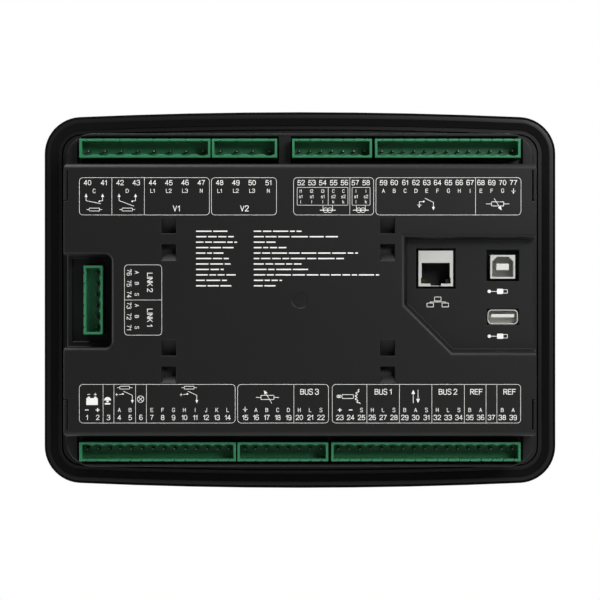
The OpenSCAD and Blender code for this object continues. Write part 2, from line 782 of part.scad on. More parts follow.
thumb_gap = [8, 4];
module coin_cell() color("#c7cacd") slab(board_front - holder_t, board_front - holder_floor)
    translate(cell_at) circle(cell_r);
module cell_holder() color("#26262a") difference() {
    slab(board_front - holder_t, board_front) translate(cell_at) circle(cell_r + holder_wall);
    slab(board_front - holder_t - cut, board_front - holder_floor) {
        translate(cell_at) circle(cell_r + fit);
        box2(thumb_gap, cell_at + [0, cell_r + fit]);
    }
}
sounder_at = [58, -40];
sounder_r = 6.5;
sounder_h = 7;
sound_hole_r = 1.2;
module sounder() color("#1d1d20") difference() {
    slab(board_front - sounder_h, board_front) translate(sounder_at) circle(sounder_r);
    slab(board_front - sounder_h - cut, board_front - sounder_h + cut)
        translate(sounder_at) circle(sound_hole_r);
}

// Operator front
module display_window() color("#9fb4ae") front(window_seat, window_seat + window_t)
    rrect([window_w, window_h], window_r, [0, window_z]);
lcd_margin = 2;
lcd_size = [window_w, window_h] - 2 * [lcd_margin, lcd_margin];
lcd_r = 1;
lcd_front = fascia_back - run_gap;
module display_frame() color("#8b8f93") front(front_board_front, lcd_front) difference() {
    rrect(lcd_size, lcd_r, [0, window_z]);
    box2(lcd_size - 2 * [lcd_wall, lcd_wall], [0, window_z]);
}
module display_glass() color("#6f7f78") front(front_board_front, lcd_front - lcd_gap)
    box2(lcd_size - 2 * [lcd_wall + fit, lcd_wall + fit], [0, window_z]);

module keypad_mat() color("#4a4d52") front(front_board_front, mat_front) difference() {
    half_w = 2 * mode_key_step + mode_key_d / 2 + mat_margin;
    low_z = mode_key_z - mode_key_d / 2 - mat_margin;
    high_z = load_key_z + load_key_size.y / 2 + mat_margin;
    nav_half = nav_step + nav_size.y / 2 + mat_margin;
    union() {
        rrect([2 * half_w, high_z - low_z], mat_r, [0, (high_z + low_z) / 2]);
        rrect([2 * nav_half, nav_z + nav_half - high_z + mat_lap], mat_r,
            [nav_x, (nav_z + nav_half + high_z - mat_lap) / 2]);
    }
    for (i = [0:4]) translate([mode_place(i).x, mode_guide_z]) circle(guide_d / 2 + guide_flange);
}

guide_back = front_board_front + led_t + led_gap;
module light_guides() color("#dfe3e0") for (p = guide_places) translate([p.x, 0, p.y]) {
    front(guide_back, bezel_d) circle(guide_d / 2);
    front(fascia_back - guide_flange_t, fascia_back) circle(guide_d / 2 + guide_flange);
}
module status_leds() color("#e6d9a0") for (p = guide_places)
    front(front_board_front, front_board_front + led_t) box2([led_size, led_size], p);

key_top = bezel_d + key_proud;
key_edge = 0.6;
module round_key(at, d) translate([at.x, 0, at.y]) rotate([-90, 0, 0]) rotate_extrude() {
    translate([0, key_flange_back]) square([d / 2 + key_flange, key_flange_t]);
    translate([0, key_flange_back]) square([d / 2, key_top - key_flange_back - key_edge]);
    translate([0, key_flange_back]) square([d / 2 - key_edge, key_top - key_flange_back]);
    translate([d / 2 - key_edge, key_top - key_edge]) circle(key_edge);
}
module block_key(at, size) {
    front(key_flange_back, key_flange_front)
        rrect(size + 2 * [key_flange, key_flange], key_r + key_flange, at);
    front(key_flange_back, key_top - key_edge) rrect(size, key_r, at);
    hull() {
        front(key_top - key_edge - skin, key_top - key_edge) rrect(size, key_r, at, $fn = 24);
        front(key_top - skin, key_top)
            rrect(size - [key_edge, key_edge], key_r - key_edge / 2, at, $fn = 24);
    }
}
module stop_key() color("#c0342c") round_key(mode_place(0), mode_key_d);
module manual_key() color(key_grey) round_key(mode_place(1), mode_key_d);
module auto_key() color(key_grey) round_key(mode_place(2), mode_key_d);
module mute_key() color(key_grey) round_key(mode_place(3), mode_key_d);
module start_key() color("#2f8f4a") round_key(mode_place(4), mode_key_d);
module close_key() color(key_grey) block_key(load_place(1), load_key_size);
module open_key() color(key_grey) block_key(load_place(-1), load_key_size);
module up_key() color(key_grey) block_key(nav_place(0, 1), nav_size);
module down_key() color(key_grey) block_key(nav_place(0, -1), nav_size);
module left_key() color(key_grey) block_key(nav_place(1, 0), [nav_size.y, nav_size.x]);
module right_key() color(key_grey) block_key(nav_place(-1, 0), [nav_size.y, nav_size.x]);
module enter_key() color(key_grey) round_key(nav_place(0, 0), enter_d);

rear_case();
front_bezel();
front_fascia();
panel_gasket();
main_board();
front_board();
top_header_8();
top_header_4();
top_header_7();
top_header_13();
bottom_header_14();
bottom_header_8();
bottom_header_17();
side_header_6();
top_pins_8();
top_pins_4();
top_pins_7();
top_pins_13();
bottom_pins_14();
bottom_pins_8();
bottom_pins_17();
side_pins_6();
network_shell();
network_insert();
network_contacts();
network_lenses();
square_port_shell();
square_port_tongue();
flat_port_shell();
flat_port_tongue();
link_socket();
link_header();
main_screws();
front_screws();
processor();
relays();
current_transformers();
capacitors();
inductor();
coin_cell();
cell_holder();
sounder();
display_window();
display_frame();
display_glass();
keypad_mat();
light_guides();
status_leds();
stop_key();
manual_key();
auto_key();
mute_key();
start_key();
close_key();
open_key();
up_key();
down_key();
left_key();
right_key();
enter_key();
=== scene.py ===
"""Dresses the generator-set controller: finishes of its moulded and metal pieces, the print, the studio."""
import json

import bpy
import numpy as np
from bpy.props import FloatProperty, FloatVectorProperty, PointerProperty
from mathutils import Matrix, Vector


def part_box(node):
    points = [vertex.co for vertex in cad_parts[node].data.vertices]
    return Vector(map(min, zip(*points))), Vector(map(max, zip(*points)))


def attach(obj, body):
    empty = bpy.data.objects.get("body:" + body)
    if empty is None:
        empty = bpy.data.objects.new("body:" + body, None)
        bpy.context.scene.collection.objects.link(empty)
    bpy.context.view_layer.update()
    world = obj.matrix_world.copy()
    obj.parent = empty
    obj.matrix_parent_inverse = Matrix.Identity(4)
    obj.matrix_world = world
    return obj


bl_info = {
    "name": "Generator-set controller",
    "version": (1, 0, 0),
    "blender": (4, 5, 0),
    "location": "3D View > Sidebar > Controller",
    "description": "Finishes, print and studio for a panel-mount generator-set controller",
    "category": "Object",
}

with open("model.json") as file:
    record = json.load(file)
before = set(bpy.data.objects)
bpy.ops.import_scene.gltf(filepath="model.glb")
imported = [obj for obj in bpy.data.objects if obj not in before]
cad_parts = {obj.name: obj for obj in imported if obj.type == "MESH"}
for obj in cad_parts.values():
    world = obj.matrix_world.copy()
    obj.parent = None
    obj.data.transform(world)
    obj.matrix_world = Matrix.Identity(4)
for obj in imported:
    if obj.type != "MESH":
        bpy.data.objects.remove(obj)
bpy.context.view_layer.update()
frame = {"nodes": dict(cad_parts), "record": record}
MM = 0.001


def linear(code):
    """An sRGB hex colour as linear red, green, blue and alpha."""
    part = np.array([int(code[i:i + 2], 16) for i in (1, 3, 5)]) / 255
    part = np.where(part <= 0.04045, part / 12.92, ((part + 0.055) / 1.055) ** 2.4)
    return (*part.tolist(), 1.0)


def hue(name, description, code):
    """A colour that a user can change."""
    return FloatVectorProperty(
        name=name, description=description, default=linear(code), subtype="COLOR", size=4, min=0, max=1)


def length(name, description, default):
    """A length that a user can change; its default is in millimetres."""
    return FloatProperty(
        name=name, description=description, default=default * MM, unit="LENGTH", precision=5, min=0)


class FinishSettings(bpy.types.PropertyGroup):
    """Colours of the controller's own finishes."""
    case: hue("Case", "Black polycarbonate of the rear case", "#0e0e0f")
    bezel: hue("Bezel", "Black polycarbonate of the front bezel", "#0b0b0c")
    header: hue("Headers", "Green polyamide of the terminal headers", "#2b7650")
    ink: hue("Print", "White ink of the terminal print", "#e9e9e6")
    stop: hue("Stop key", "Silicone of the stop key", "#b3261f")
    start: hue("Start key", "Silicone of the start key", "#1f8a43")
    key: hue("Other keys", "Silicone of the grey keys", "#4a4d52")


class SizeSettings(bpy.types.PropertyGroup):
    """Sizes of the details that are added to the solids."""
    case_edge: length("Case edge", "Rounding along the edges of the rear case", 0.35)
    header_edge: length("Header edge", "Rounding along the edges of the headers", 0.12)
    ink_depth: length("Ink depth", "Thickness of the printed ink", 0.04)
    frame: length("Frame line", "Width of the lines of the terminal frames", 0.165)
    stroke: length("Line", "Width of a printed line", 0.23)
    digit: length("Digit", "Height of the terminal numbers", 2.33)
    grain: length("Moulded grain", "Spacing of the grain on the moulded case", 0.7)


def finishes():
    """The colours as they are set now."""
    return bpy.context.scene.controller_finish


def sizes():
    """The sizes as they are set now."""
    return bpy.context.scene.controller_size


def add(tree, kind, values=(), links=(), **settings):
    """Adds one node with its settings and input values, and links its inputs to other nodes' outputs."""
    new = tree.nodes.new(kind)
    for key, value in settings.items():
        setattr(new, key, value)
    for key, value in dict(values).items():
        new.inputs[key].default_value = value
    for key, source in dict(links).items():
        tree.links.new(source, new.inputs[key])
    return new


def shade(colour, share):
    """The same colour lighter or darker by a share."""
    return (*[min(1.0, c * share) for c in colour[:3]], 1.0)


def empty_material(name):
    """A new material and its empty node tree."""
    material = bpy.data.materials.new(name)
    material.use_nodes = True
    material.node_tree.nodes.clear()
    return material, material.node_tree


# Strength of the bump, spacing of the blotches over the grain's, and the share by which the roughness varies
BUMP_STRENGTH = 0.6
BLOTCH_SPACING = 30
GLOSS_SPREAD = 0.1


def moulded(name, colour, rough, grain, relief, blotch, stretch=(1, 1, 1), **shader):
    """A surface with a fine grain of some spacing and relief in millimetres, over slow blotches of tone.

    Noise at the grain's spacing drives the bump and a tenth of the roughness; noise thirty times as coarse
    moves the colour between a darker and a lighter tone. Stretch draws the grain out along an axis.
    """
    material, tree = empty_material(name)
    place = add(tree, "ShaderNodeTexCoord").outputs["Object"]
    drawn = add(tree, "ShaderNodeMapping", {"Scale": stretch}, {"Vector": place}).outputs["Vector"]
    fine = add(tree, "ShaderNodeTexNoise", {"Scale": 1 / (grain * MM), "Detail": 2.0}, {"Vector": drawn})
    slow = add(tree, "ShaderNodeTexNoise", {"Scale": 1 / (BLOTCH_SPACING * grain * MM), "Detail": 3.0},
               {"Vector": place})
    tone = add(tree, "ShaderNodeMix", {"A": shade(colour, 1 - blotch), "B": shade(colour, 1 + blotch)},
               {"Factor": slow.outputs["Fac"]}, data_type="RGBA")
    least, most = rough * (1 - GLOSS_SPREAD), rough * (1 + GLOSS_SPREAD)
    gloss = add(tree, "ShaderNodeMapRange", {"To Min": least, "To Max": most}, {"Value": fine.outputs["Fac"]})
    bump = add(tree, "ShaderNodeBump", {"Strength": BUMP_STRENGTH, "Distance": relief * MM},
               {"Height": fine.outputs["Fac"]})
    surface = add(tree, "ShaderNodeBsdfPrincipled", shader, {
        "Base Color": tone.outputs["Result"], "Roughness": gloss.outputs["Result"],
        "Normal": bump.outputs["Normal"]})
    add(tree, "ShaderNodeOutputMaterial", (), {"Surface": surface.outputs["BSDF"]})
    return material


def of_slot(slot):
    """The solids of a material slot of the record, by name."""
    names = [part["node"] for part in frame["record"]["subparts"] if part["material_slot"] == slot]
    if not names:
        raise ValueError(f"no solid has the slot {slot}")
    return names


def wear_finish(slot, material):
    """Puts one material on every solid of a material slot."""
    for name in of_slot(slot):
        mesh = frame["nodes"][name].data
        mesh.materials.clear()
        mesh.materials.append(material)


# Angles in radians: past the first an edge counts as sharp, and under the second two faces count as one
SHARP = 0.5
FLAT = 0.01
# Distances in metres within which corners are joined, on solids that get round edges and on the others
JOIN_ROUNDED = 2e-5
JOIN_OTHER = 1e-6
# Weight of the larger faces in the normals of a rounded solid
FACE_WEIGHT = 100


def joined(node, reach):
    """A solid whose faces are shaded smoothly and whose corners are joined within a reach."""
    solid = frame["nodes"][node]
    solid.data.polygons.foreach_set("use_smooth", np.ones(len(solid.data.polygons), bool))
    solid.modifiers.new("join", "WELD").merge_threshold = reach
    return solid


def soften(node, width, segments=2):
    """Rounds the hard edges of a solid: its triangles are joined, flat ones merged, and sharp edges get a
    bevel of some width; normals then follow the larger faces, so that these look flat."""
    solid = joined(node, JOIN_ROUNDED)
    merge = solid.modifiers.new("merge", "DECIMATE")
    merge.decimate_type, merge.angle_limit = "DISSOLVE", FLAT
    edge = solid.modifiers.new("edge", "BEVEL")
    edge.width, edge.segments, edge.angle_limit = width, segments, SHARP
    edge.limit_method, edge.use_clamp_overlap = "ANGLE", False
    solid.modifiers.new("flat", "WEIGHTED_NORMAL").weight = FACE_WEIGHT


def smooth(node, angle=SHARP):
    """Shades a solid smoothly across edges flatter than an angle in radians."""
    joined(node, JOIN_OTHER).modifiers.new("split", "EDGE_SPLIT").split_angle = angle


# Strokes of each letter on a grid about four wide and six high: "~" leads an open curve, "o" a closed one
LETTERS = {
    "0": ("o0,0 4,0 4,6 0,6",), "1": ("0.2,4.5 1.9,5.8 1.9,0",), "7": ("0,6 4,6", "~4,6 2.2,3.5 1.3,0"),
    "2": ("~0.1,4.2 0.2,6.1 4,6.2 4,3.5 2,2.2 0.2,0.2", "0,0 4,0"),
    "3": ("~0.1,4.6 0.2,6.1 3.9,6.2 3.9,3.2 1.6,3.2", "~1.6,3.2 4.1,3.2 4.1,-0.1 0,-0.2 0,1.5"),
    "4": ("3,0 3,6", "3,6 0,1.7", "0,1.7 4.2,1.7"),
    "5": ("3.8,6 0.6,6 0.2,2.7", "~0.2,2.7 1.2,3.7 4.1,3.7 4.1,-0.1 0.2,-0.2 0,1.1"),
    "6": ("o0,0 4,0 4,3.6 0,3.6", "~0,1.8 0,6.3 3,6.5 3.8,5.1"),
    "8": ("o0.25,3.2 3.75,3.2 3.75,6 0.25,6", "o0,0 4,0 4,3.2 0,3.2"),
    "9": ("o0,2.4 4,2.4 4,6 0,6", "~4,4.2 4,-0.3 1,-0.5 0.2,0.9"),
    "A": ("0,0 2.2,6", "2.2,6 4.4,0", "0.8,2 3.6,2"),
    "C": ("~4.2,4.5 3.8,6.2 0,6.3 0,-0.3 3.8,-0.2 4.2,1.5",),
    "B": ("0,0 0,6", "~0,6 2.8,6 3.9,5.5 3.9,3.7 2.8,3.2 0,3.2", "~0,3.2 3,3.2 4.3,2.6 4.3,0.6 3,0 0,0"),
    "D": ("0,0 0,6", "~0,6 2.4,6 4.5,5.2 4.5,0.8 2.4,0 0,0"), "E": ("4,0 0,0 0,6 4,6", "0,3.1 3.6,3.1"),
    "F": ("0,0 0,6 3.9,6", "0,3.1 3.3,3.1"), "H": ("0,0 0,6", "4,0 4,6", "0,3.1 4,3.1"),
    "G": ("~4.2,4.8 3.8,6.2 0,6.3 0,-0.3 4,-0.3 4.3,2.4", "2.6,2.6 4.3,2.6"), "I": ("0,0 0,6",),
    "J": ("3,6 3,2", "~3,2 3,-0.3 0,-0.3 0,1.8"), "K": ("0,0 0,6", "4,6 0,2", "1.4,3.3 4.2,0"),
    "L": ("0,6 0,0 3.6,0",), "M": ("0,0 0,6", "0,6 2.4,0.6", "2.4,0.6 4.8,6", "4.8,6 4.8,0"),
    "N": ("0,0 0,6", "0,6 4,0", "4,0 4,6"),
    "R": ("0,0 0,6", "~0,6 2.8,6 4.1,5.5 4.1,3.5 2.8,3 0,3", "2.2,3 4.2,0"),
    "S": ("~4,4.8 3.8,6.2 0.2,6.3 0,3.4 4.1,3 4.1,-0.3 0.2,-0.3 0,1.3",), "V": ("0,6 2.1,0", "2.1,0 4.2,6"),
    "U": ("0,6 0,2", "~0,2 0,-0.3 4,-0.3 4,2", "4,2 4,6"), "l": ("0,0 0,6",), " ": (),
    "k": ("0,0 0,6", "3,4 0,1.6", "1.1,2.5 3.2,0"),
    "s": ("~3,3.2 2.9,4.2 0.2,4.3 0,2.2 3,2.3 3.1,-0.1 0.2,-0.2 0,1.1",),
}
# Height of the grid, the share of its width that a letter takes, and the room of a gap and of a blank
GRID = 6
NARROW = 0.93
GAP = 0.8
BLANK = 2.0
# Width of a letter's strokes over its height
WEIGHT = 0.115
# Planes that the strokes of the ink take by turns, and the share by which each is thinner than the last
LEVELS = 7
THINNER = 0.06


def stroke_path(stroke):
    """Points of one stroke. A curve has its corners cut twice: each span gives points at a quarter and at
    three quarters of its length; an open curve keeps its ends, and a closed one runs back to its start."""
    curved = stroke[0] in "~o"
    path = np.array([[float(v) for v in point.split(",")] for point in stroke[curved:].split()])
    if stroke[0] == "o":
        path = np.vstack([path, path[:1]])
    for _ in range(2 * curved):
        near, far = path[:-1], path[1:]
        cut = np.stack([near * 0.75 + far * 0.25, near * 0.25 + far * 0.75], axis=1).reshape(-1, 2)
        path = np.vstack([cut, cut[:1]] if stroke[0] == "o" else [path[:1], cut, path[-1:]])
    return path


class Print:
    """Ink on a flat face, gathered as thin solids; places are across and up in millimetres as it is read."""

    def __init__(self, face, way):
        """Face is the depth of the face along Y, and way the side it looks to: -1 terminals, 1 operator."""
        self.face, self.way = face, way
        self.points, self.faces, self.count = [], [], 0

    def put(self, flat, faces):
        """Adds points as across, up and height in the ink (0 foot, 1 top), with their faces."""
        depth = sizes().ink_depth
        flat = np.asarray(flat, float)
        # Strokes that cross in one plane would shade each other dark, so by turns each is a little thinner
        depth *= 1 - THINNER * (len(self.points) % LEVELS)
        across, height = -self.way * flat[:, 0] * MM, self.face + self.way * flat[:, 2] * depth
        self.points.append(np.column_stack([across, height, flat[:, 1] * MM]))
        self.faces += [[i + self.count for i in face] for face in faces]
        self.count += len(flat)

    def area(self, outline):
        """A filled anticlockwise outline: its points at the ink's top and foot, joined by a wall."""
        outline = np.asarray(outline, float)
        n = len(outline)
        flat = np.vstack([np.column_stack([outline, np.full(n, h)]) for h in (1, 0)])
        wall = [[i, i + n, (i + 1) % n + n, (i + 1) % n] for i in range(n)]
        self.put(flat, [list(range(n)), list(range(2 * n - 1, n - 1, -1)), *wall])

    def line(self, path, width=None, closed=False):
        """A line of even width: each point moves both ways by half the width along its mitre, which is the
        sum of the two normals over one plus their dot product."""
        width = width or sizes().stroke / MM
        path = np.asarray(path, float)
        step = np.diff(np.vstack([path, path[:1]]) if closed else path, axis=0)
        step /= np.linalg.norm(step, axis=1, keepdims=True)
        side = np.column_stack([-step[:, 1], step[:, 0]])
        before = np.roll(side, 1, axis=0) if closed else np.vstack([side[:1], side])
        after = side if closed else np.vstack([side, side[-1:]])
        mitre = (before + after) / (1 + np.sum(before * after, axis=1, keepdims=True))
        left, right = path + mitre * width / 2, path - mitre * width / 2
        n = len(path)
        band = np.stack([np.column_stack([p, np.full(n, h)]) for p, h in
                         ((left, 1), (right, 1), (right, 0), (left, 0))], axis=1)
        last = n if closed else n - 1
        faces = [[4 * i + k, 4 * i + (k + 1) % 4, 4 * ((i + 1) % n) + (k + 1) % 4, 4 * ((i + 1) % n) + k]
                 for i in range(last) for k in range(4)]
        if not closed:
            faces += [[3, 2, 1, 0], [4 * n - 4, 4 * n - 3, 4 * n - 2, 4 * n - 1]]
        self.put(band.reshape(-1, 3), faces)

    def words(self, body, at, height, turn=0, weight=WEIGHT):
        """Letters of some height about a place, turned anticlockwise by quarter turns. Each stroke of the
        letter table is narrowed, scaled to the height and drawn as a line whose width is a share of it."""
        width = weight * height
        unit, gap = (height - width) / GRID, GAP + GRID * weight
        drawn, reach = [], 0.0
        for letter in body:
            paths = [stroke_path(stroke) * (NARROW, 1) for stroke in LETTERS[letter]]
            curves = [stroke[0] in "~o" for stroke in LETTERS[letter]]
            drawn += [(path + (reach, 0), curved) for path, curved in zip(paths, curves)]
            reach += max(path[:, 0].max() for path in paths) + gap if paths else BLANK
        middle = ((reach - gap) / 2, GRID / 2)
        c, s = np.cos(turn * np.pi / 2), np.sin(turn * np.pi / 2)
        for path, curved in drawn:
            path = (path - middle) * unit
            # A straight stroke fills its corners: its two end points move out by half the line's width
            for end, beside in () if curved else ((0, 1), (-1, -2)):
                out = path[end] - path[beside]
                path[end] += out * (width / 2 / np.linalg.norm(out))
            self.line(path @ np.array([[c, s], [-s, c]]) + at, width)

    def piece(self, name, body, material):
        """Makes the ink one mesh that rides on a body."""
        mesh = bpy.data.meshes.new(name)
        mesh.from_pydata(np.vstack(self.points).tolist(), [], self.faces)
        mesh.materials.append(material)
        mesh.validate()
        made = bpy.data.objects.new(name, mesh)
        bpy.context.scene.collection.objects.link(made)
        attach(made, body) or made


def rounded(x0, z0, x1, z1, r, steps=5):
    """Anticlockwise rectangle with round corners: four quarter circles about the inset corners."""
    turn = np.linspace(0, np.pi / 2, steps)
    corners = ((x1 - r, z1 - r, 0), (x0 + r, z1 - r, 1), (x0 + r, z0 + r, 2), (x1 - r, z0 + r, 3))
    return np.vstack([
        np.column_stack([x + r * np.cos(turn + q * np.pi / 2), z + r * np.sin(turn + q * np.pi / 2)])
        for x, z, q in corners])


def ring(x, z, r, steps=20):
    """Anticlockwise circle."""
    turn = np.arange(steps) * 2 * np.pi / steps
    return np.column_stack([x + r * np.cos(turn), z + r * np.sin(turn)])


# Half width of an arrow's head, and how far short of its tip the line stops, both over the head's length
HEAD_HALF = 0.45
HEAD_SHORT = 0.8


def arrow_head(tip, tail, size):
    """Anticlockwise triangle with its tip at a place, pointing away from the tail."""
    tip, tail = np.asarray(tip, float), np.asarray(tail, float)
    along = (tip - tail) / np.linalg.norm(tip - tail)
    side = np.array([-along[1], along[0]])
    foot, half = tip - along * size, side * size * HEAD_HALF
    return np.array([tip, foot + half, foot - half])


# Pitch of the pins in the wide and the close headers, the share of it that the print takes in a row across,
# and the room that a frame leaves beyond half a pitch at the ends of a close header, in millimetres
WIDE_PITCH, CLOSE_PITCH = 7.62, 5.08
DRAWN_IN = 0.983
CLOSE_ROOM = 0.97


def ways(header, count, lean):
    """Places of a header's numbers along its row, and the two ends of their frame, in millimetres. They stand
    about the header's middle, moved by lean, at the pins' pitch, drawn in where the row runs across."""
    low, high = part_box(header)
    axis = 2 if high.z - low.z > high.x - low.x else 0
    wide = header in ("top_header_8", "top_header_4")
    pitch = (WIDE_PITCH if wide else CLOSE_PITCH) * (DRAWN_IN if axis == 0 else 1)
    places = (low[axis] + high[axis]) / 2 / MM + lean + (np.arange(count) - (count - 1) / 2) * pitch
    margin = pitch / 2 + (0 if wide else CLOSE_ROOM)
    return places, places[0] - margin, places[-1] + margin


def counted(first, last):
    """The numbers from the first to the last as text, up or down."""
    step = 1 if last > first else -1
    return [str(n) for n in range(first, last + step, step)]


# Terminal numbers and letters of each header, the ways in each box of its frame, and the frame's lean
ROWS = {
    "top_header_8": (counted(40, 47), ["", "", "", "", "L1", "L2", "L3", "N"], [2, 2, 4], 0.25),
    "top_header_4": (counted(48, 51), ["L1", "L2", "L3", "N"], [4], -0.07),
    "top_header_7": (counted(52, 58), [""] * 7, [5, 2], 0.6),
    "top_header_13": ([*counted(59, 70), "77"], [*"ABCDEFGHIEFG", ""], [9, 4], -0.16),
    "bottom_header_14": (counted(1, 14), ["-", "+", "", "A", "B", "", *"EFGHIJKL"], [2, 1, 2, 1, 8], 0.25),
    "bottom_header_8": (counted(15, 22), ["", *"ABCDHLS"], [5, 3], 0.16),
    "bottom_header_17": (counted(23, 39), ["+", "-", "S", *"HLSBASHLSBA", "", *"BA"], [3, 3, 3, 3, 2, 1, 2],
                         -0.14),
    "side_header_6": (counted(76, 71), [*"ABSABS"], [3, 3], 0.0),
}
# Lower and upper edge of the frames at the top and at the bottom, and heights of their numbers and letters
FRAMES = {"top": (39.2, 56.4), "bottom": (-56.7, -38.9)}
LINES = {"top": (54.1, 50.35), "bottom": (-54.15, -50.7)}
# Edges of the side frame, and where its numbers and letters stand
SIDE_NEAR, SIDE_FAR = -80.9, -63.7
SIDE_LINES = (-78.8, -75.2)
# Radius of a frame's corners
CORNER = 1.6
# Boxes in the frame of the current inputs: ends, the line that parts the first, foot and top, corner radius
INNER_BOXES = ((-1.3, 22.1), (24.0, 32.3))
INNER_SPLIT = 13.0
INNER_FOOT, INNER_TOP = 43.7, 51.9
INNER_CORNER = 0.3
# Heights of the side numbers and of the letters over the digits', and half length and width of a sign's bars
SIDE_SHARE, LETTER_SHARE = 0.88, 0.79
SIGN_REACH, SIGN_WIDTH = 0.85, 0.42
# Words in the frames: text, place, height over the digits' and quarter turns
WORDS = (
    ("C", (-94.9, 50.3), 0.8, 0), ("D", (-79.6, 50.3), 0.8, 0), ("V1", (-57.0, 42.2), 1.15, 0),
    ("V2", (-25.6, 42.2), 1.15, 0), ("BUS 3", (4.4, -42.3), 1.1, 0), ("BUS 1", (38.3, -42.3), 1.1, 0),
    ("BUS 2", (68.2, -42.3), 1.1, 0), ("REF", (81.3, -42.3), 1.1, 0), ("REF", (96.6, -42.3), 1.1, 0),
    ("LINK 2", (-69.2, 8.1), 1.1, -1), ("LINK 1", (-69.2, -8.1), 1.1, -1),
)
# Columns of words in the inner boxes, each from the top down, with the heights, size and weight of its words
INNER_WORDS = (
    (0.3, ("I1", "s1", "l")), (5.4, ("I2", "s1", "l")), (10.5, ("I3", "s1", "l")), (15.4, ("C", "s2", "k")),
    (20.0, ("C", "s2", "k")), (25.8, ("I", "s1", "l")), (30.4, ("I", "s2", "k")),
)
INNER_LINES = (50.2, 47.7, 45.3)
INNER_HEIGHT, INNER_WEIGHT = 1.5, 0.12


def ink_material():
    """White epoxy ink, pad-printed: even, faintly mottled where the pad lifted off, with a dull sheen."""
    found = bpy.data.materials.get("epoxy_ink_printed")
    return found or moulded(
        "epoxy_ink_printed", finishes().ink, rough=0.5, grain=0.5, relief=0.004, blotch=0.05)


class DressCase(bpy.types.Operator):
    """Gives the rear case its edges and its moulded finish"""
    bl_idname = "controller.dress_case"
    bl_label = "Rear case"

    def execute(self, context):
        # Polycarbonate, moulded in a spark-eroded tool: a dark, even grain that spreads the light. The real
        # grain is about 0.1 mm and is drawn coarser so that it shows.
        wear_finish("case_plastic", moulded(
            "polycarbonate_spark_eroded", finishes().case, rough=0.5, grain=sizes().grain / MM, relief=0.02,
            blotch=0.12, IOR=1.36))
        soften("rear_case", sizes().case_edge)
        return {"FINISHED"}


# Angle in radians up to which the bezel, fascia and gasket look round
BOWED = 0.6
# The round of the bezel's rear edge: limits of its normal's part along Y, and its painted shade over the
# bezel's tone
RIM_SLANT = (-0.98, -0.05)
RIM_SHADE = 0.5


class DressBezel(bpy.types.Operator):
    """Gives the front bezel and the panel gasket their finishes"""
    bl_idname = "controller.dress_bezel"
    bl_label = "Bezel and gasket"

    def execute(self, context):
        # Polycarbonate, moulded in a stoned tool: closer and smoother than the case, with a satin sheen.
        wear_finish("bezel_plastic", moulded(
            "polycarbonate_satin", finishes().bezel, rough=0.42, grain=0.5, relief=0.006, blotch=0.1,
            IOR=1.36))
        # EPDM foam, extruded with closed cells: small dents, and no sheen.
        wear_finish("gasket_foam", moulded(
            "foam_closed_cell", linear("#090909"), rough=0.9, grain=0.9, relief=0.06, blotch=0.2, IOR=1.2))
        for node in ("front_bezel", "front_fascia", "panel_gasket"):
            smooth(node, BOWED)
        # Painted shade on the same polycarbonate round the rear edge: half as dark, with little sheen, so the
        # round stays dark under the lamps.
        rim = frame["nodes"]["front_bezel"].data
        rim.materials.append(moulded(
            "polycarbonate_painted_shade", shade(finishes().bezel, RIM_SHADE), rough=0.7, grain=0.5, relief=0.006,
            blotch=0.1, IOR=1.1))
        slant = np.empty(3 * len(rim.polygons), np.float32)
        rim.polygons.foreach_get("normal", slant)
        slant = slant.reshape(-1, 3)[:, 1]
        shaded_round = (slant > RIM_SLANT[0]) & (slant < RIM_SLANT[1])
        # Faces of the round take the painted shade
        rim.polygons.foreach_set("material_index", shaded_round.astype(np.int32))
        return {"FINISHED"}


# Rounding along the edges of the pins and of the sockets
PIN_EDGE = 0.36 * MM
SOCKET_EDGE = 0.12 * MM


class DressHeaders(bpy.types.Operator):
    """Gives the terminal headers and their pins their finishes"""
    bl_idname = "controller.dress_headers"
    bl_label = "Headers and pins"

    def execute(self, context):
        # Polyamide with glass fibre, moulded: a clear green with a little light inside its thin walls.
        wear_finish("header_plastic", moulded(
            "polyamide_moulded", finishes().header, rough=0.42, grain=0.5, relief=0.008, blotch=0.12,
            **{"Subsurface Weight": 0.15, "Subsurface Radius": (0.0006, 0.0012, 0.0006)}))
        # Brass, tin plated and gone dull: grey metal, faintly streaked along the pin where it was drawn.
        wear_finish("tinned_pin", moulded(
            "brass_tin_plated", linear("#a5a39d"), rough=0.4, grain=0.4, relief=0.004, blotch=0.1,
            stretch=(1, 0.1, 1), Metallic=1.0))
        for node in of_slot("header_plastic"):
            soften(node, sizes().header_edge, segments=1)
        for node in of_slot("tinned_pin"):
            soften(node, PIN_EDGE, segments=1)
        return {"FINISHED"}


class DressPorts(bpy.types.Operator):
    """Gives the data sockets their finishes"""
    bl_idname = "controller.dress_ports"
    bl_label = "Data sockets"

    def execute(self, context):
        # Steel sheet, matt tin plated after folding: pale and even, with faint rolling lines.
        wear_finish("socket_plate", moulded(
            "steel_tin_plated", linear("#c8c8c5"), rough=0.45, grain=0.35, relief=0.003, blotch=0.05,
            stretch=(1, 1, 0.08), Metallic=0.4))
        # PBT, moulded: a close black with a soft sheen.
        wear_finish("socket_black", moulded(
            "polybutylene_moulded", linear("#121213"), rough=0.5, grain=0.4, relief=0.006, blotch=0.1,
            IOR=1.36))
        # Phosphor bronze with a gold flash: warm metal drawn along the contact.
        wear_finish("contact_gold", moulded(
            "bronze_gold_flashed", linear("#8f7a45"), rough=0.25, grain=0.3, relief=0.003, blotch=0.08,
            stretch=(1, 0.1, 1), Metallic=1.0))
        # PBT, moulded in its natural white: a little warm, and dull.
        wear_finish("tongue_white", moulded(
            "polybutylene_natural", linear("#cfcfcb"), rough=0.45, grain=0.5, relief=0.006, blotch=0.05))
        wear_finish("lens_amber", lens_pair())
        for slot in ("socket_plate", "tongue_white"):
            for node in of_slot(slot):
                soften(node, SOCKET_EDGE, segments=1)
        return {"FINISHED"}


